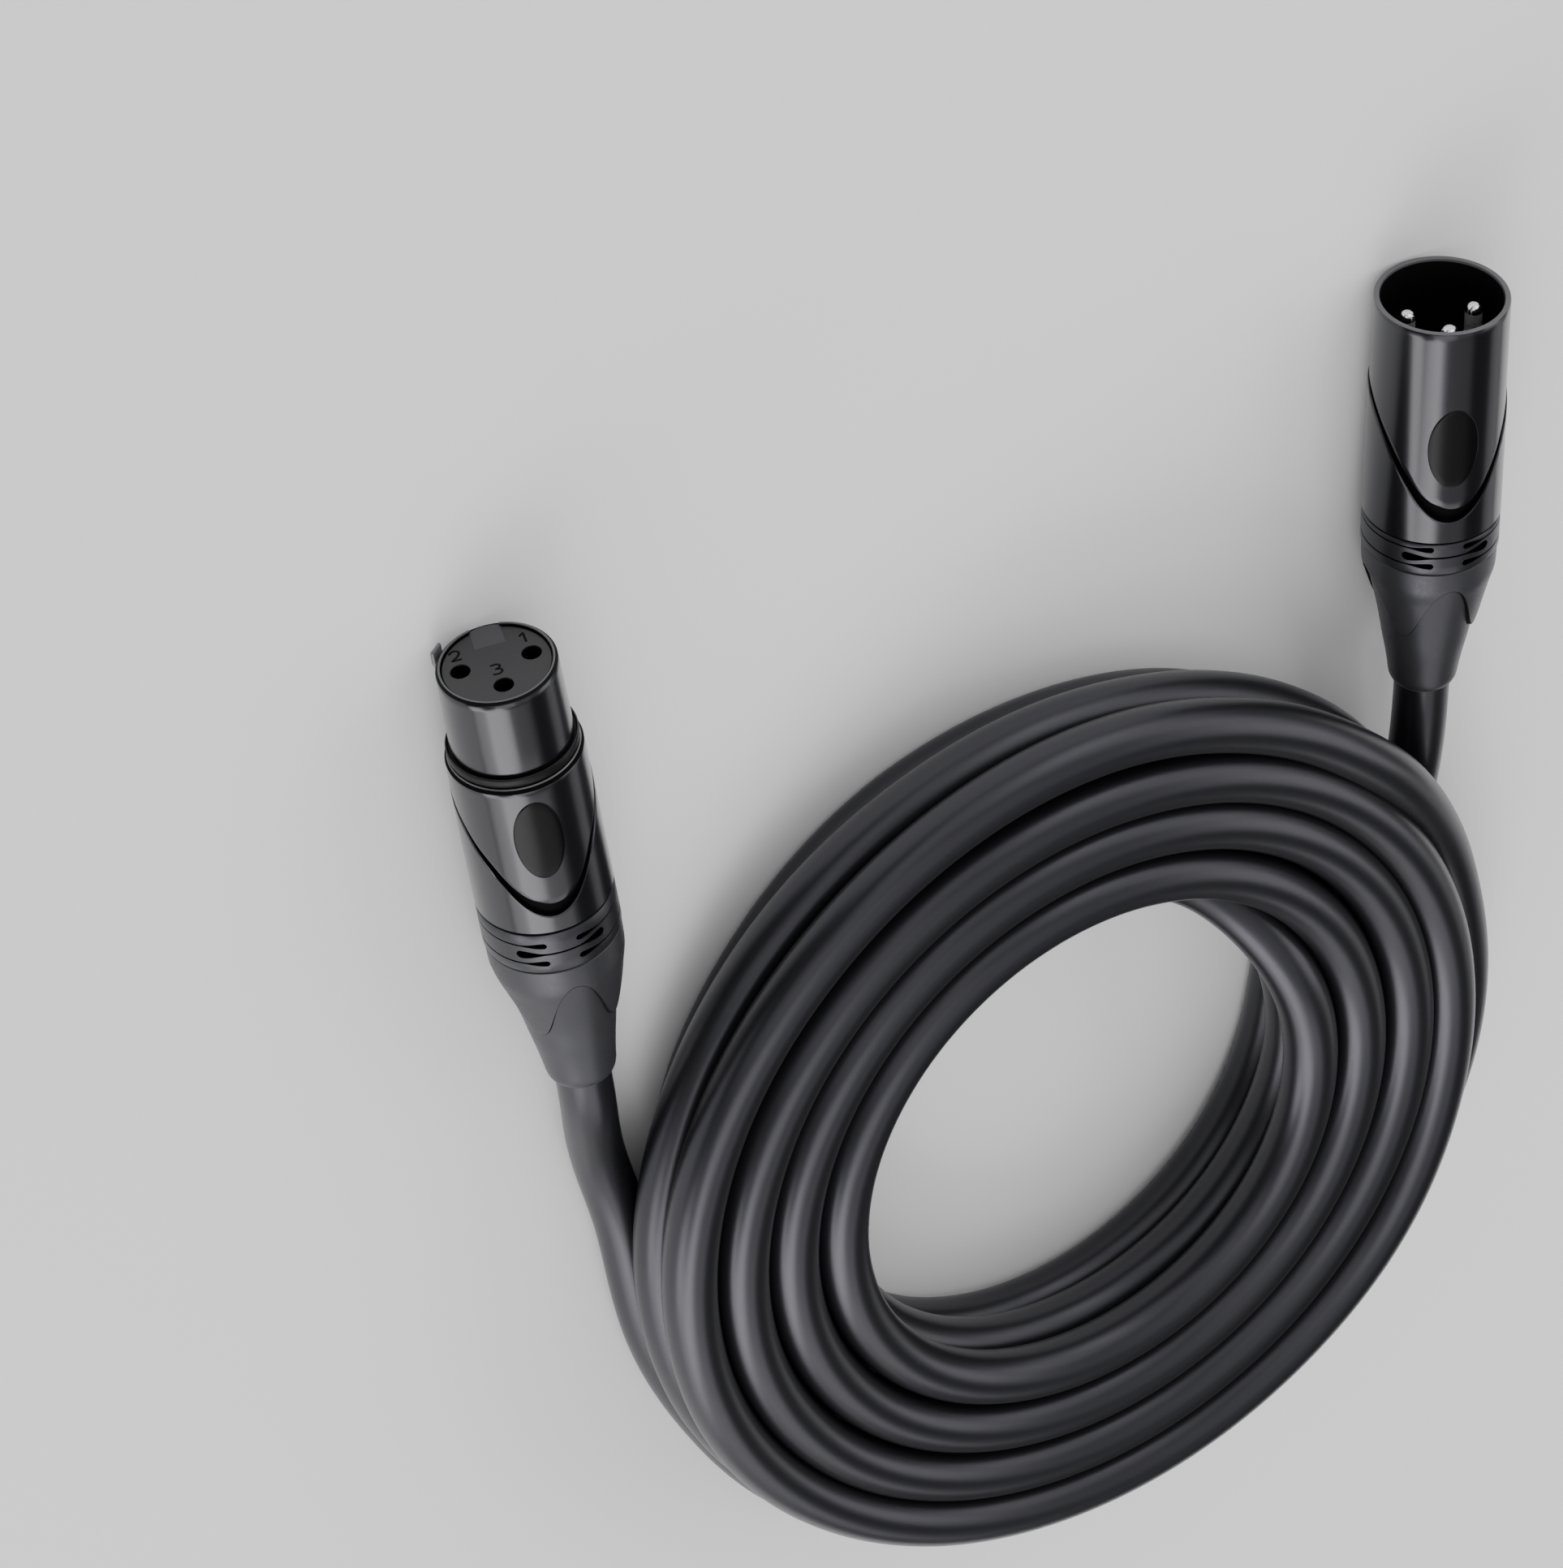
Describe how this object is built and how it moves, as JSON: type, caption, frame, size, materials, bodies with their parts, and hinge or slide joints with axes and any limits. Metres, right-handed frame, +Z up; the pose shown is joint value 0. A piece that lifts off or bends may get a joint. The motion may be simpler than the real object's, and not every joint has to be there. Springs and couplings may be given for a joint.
{
  "type": "xlr cable coil",
  "caption": "Coiled black microphone cable with a pinned round plug at one end and a latching round socket at the other, lying flat.",
  "frame": {"origin": "on the plane the cable lies on, below the middle of the box round the two connectors", "axes": "+Z up; the male connector points exactly along -Y; +X runs from the male connector to the female connector"},
  "size_m": [0.1655, 0.1814, 0.0227],
  "materials": {
    "shell": "satin black lacquer on die-cast zinc",
    "inlay": "gloss black oval plate",
    "insert": "moulded insulator",
    "contact": "silver plated contacts",
    "steel": "spring steel",
    "nylon": "black nylon",
    "boot": "dark grey polymer",
    "rubber": "black ring",
    "jacket": "matt black flexible jacket"
  },
  "bodies": {
    "cable_and_connectors": {"male_shell": "shell", "male_inlay": "inlay", "male_insert": "insert", "male_ground_clip": "steel", "male_bushing": "boot", "male_boot": "boot", "male_chuck": "nylon", "male_cable_end": "jacket", "male_pin_1": "contact", "male_pin_2": "contact", "male_pin_3": "contact", "female_shell": "shell", "female_inlay": "inlay", "female_insert": "insert", "female_seal_ring": "rubber", "female_ground_clip": "steel", "female_bushing": "boot", "female_boot": "boot", "female_chuck": "nylon", "female_cable_end": "jacket", "female_socket_1": "contact", "female_socket_2": "contact", "female_socket_3": "contact", "female_latch_spring": "steel", "female_latch_pin": "steel", "cable_coil": "jacket", "male_lead": "jacket", "female_lead": "jacket"},
    "latch": {"female_latch": "nylon"}
  },
  "joints": [
    {"name": "latch_pivot", "type": "hinge", "parent": "cable_and_connectors", "child": "latch", "pos_m": [0.07211, -0.00666, 0.00338], "axis": [-0.8506, -0.1626, -0.5], "range_deg": [0, 1.5], "stiffness_Nm_per_rad": 0.2, "springref_deg": -8.59}
  ]
}
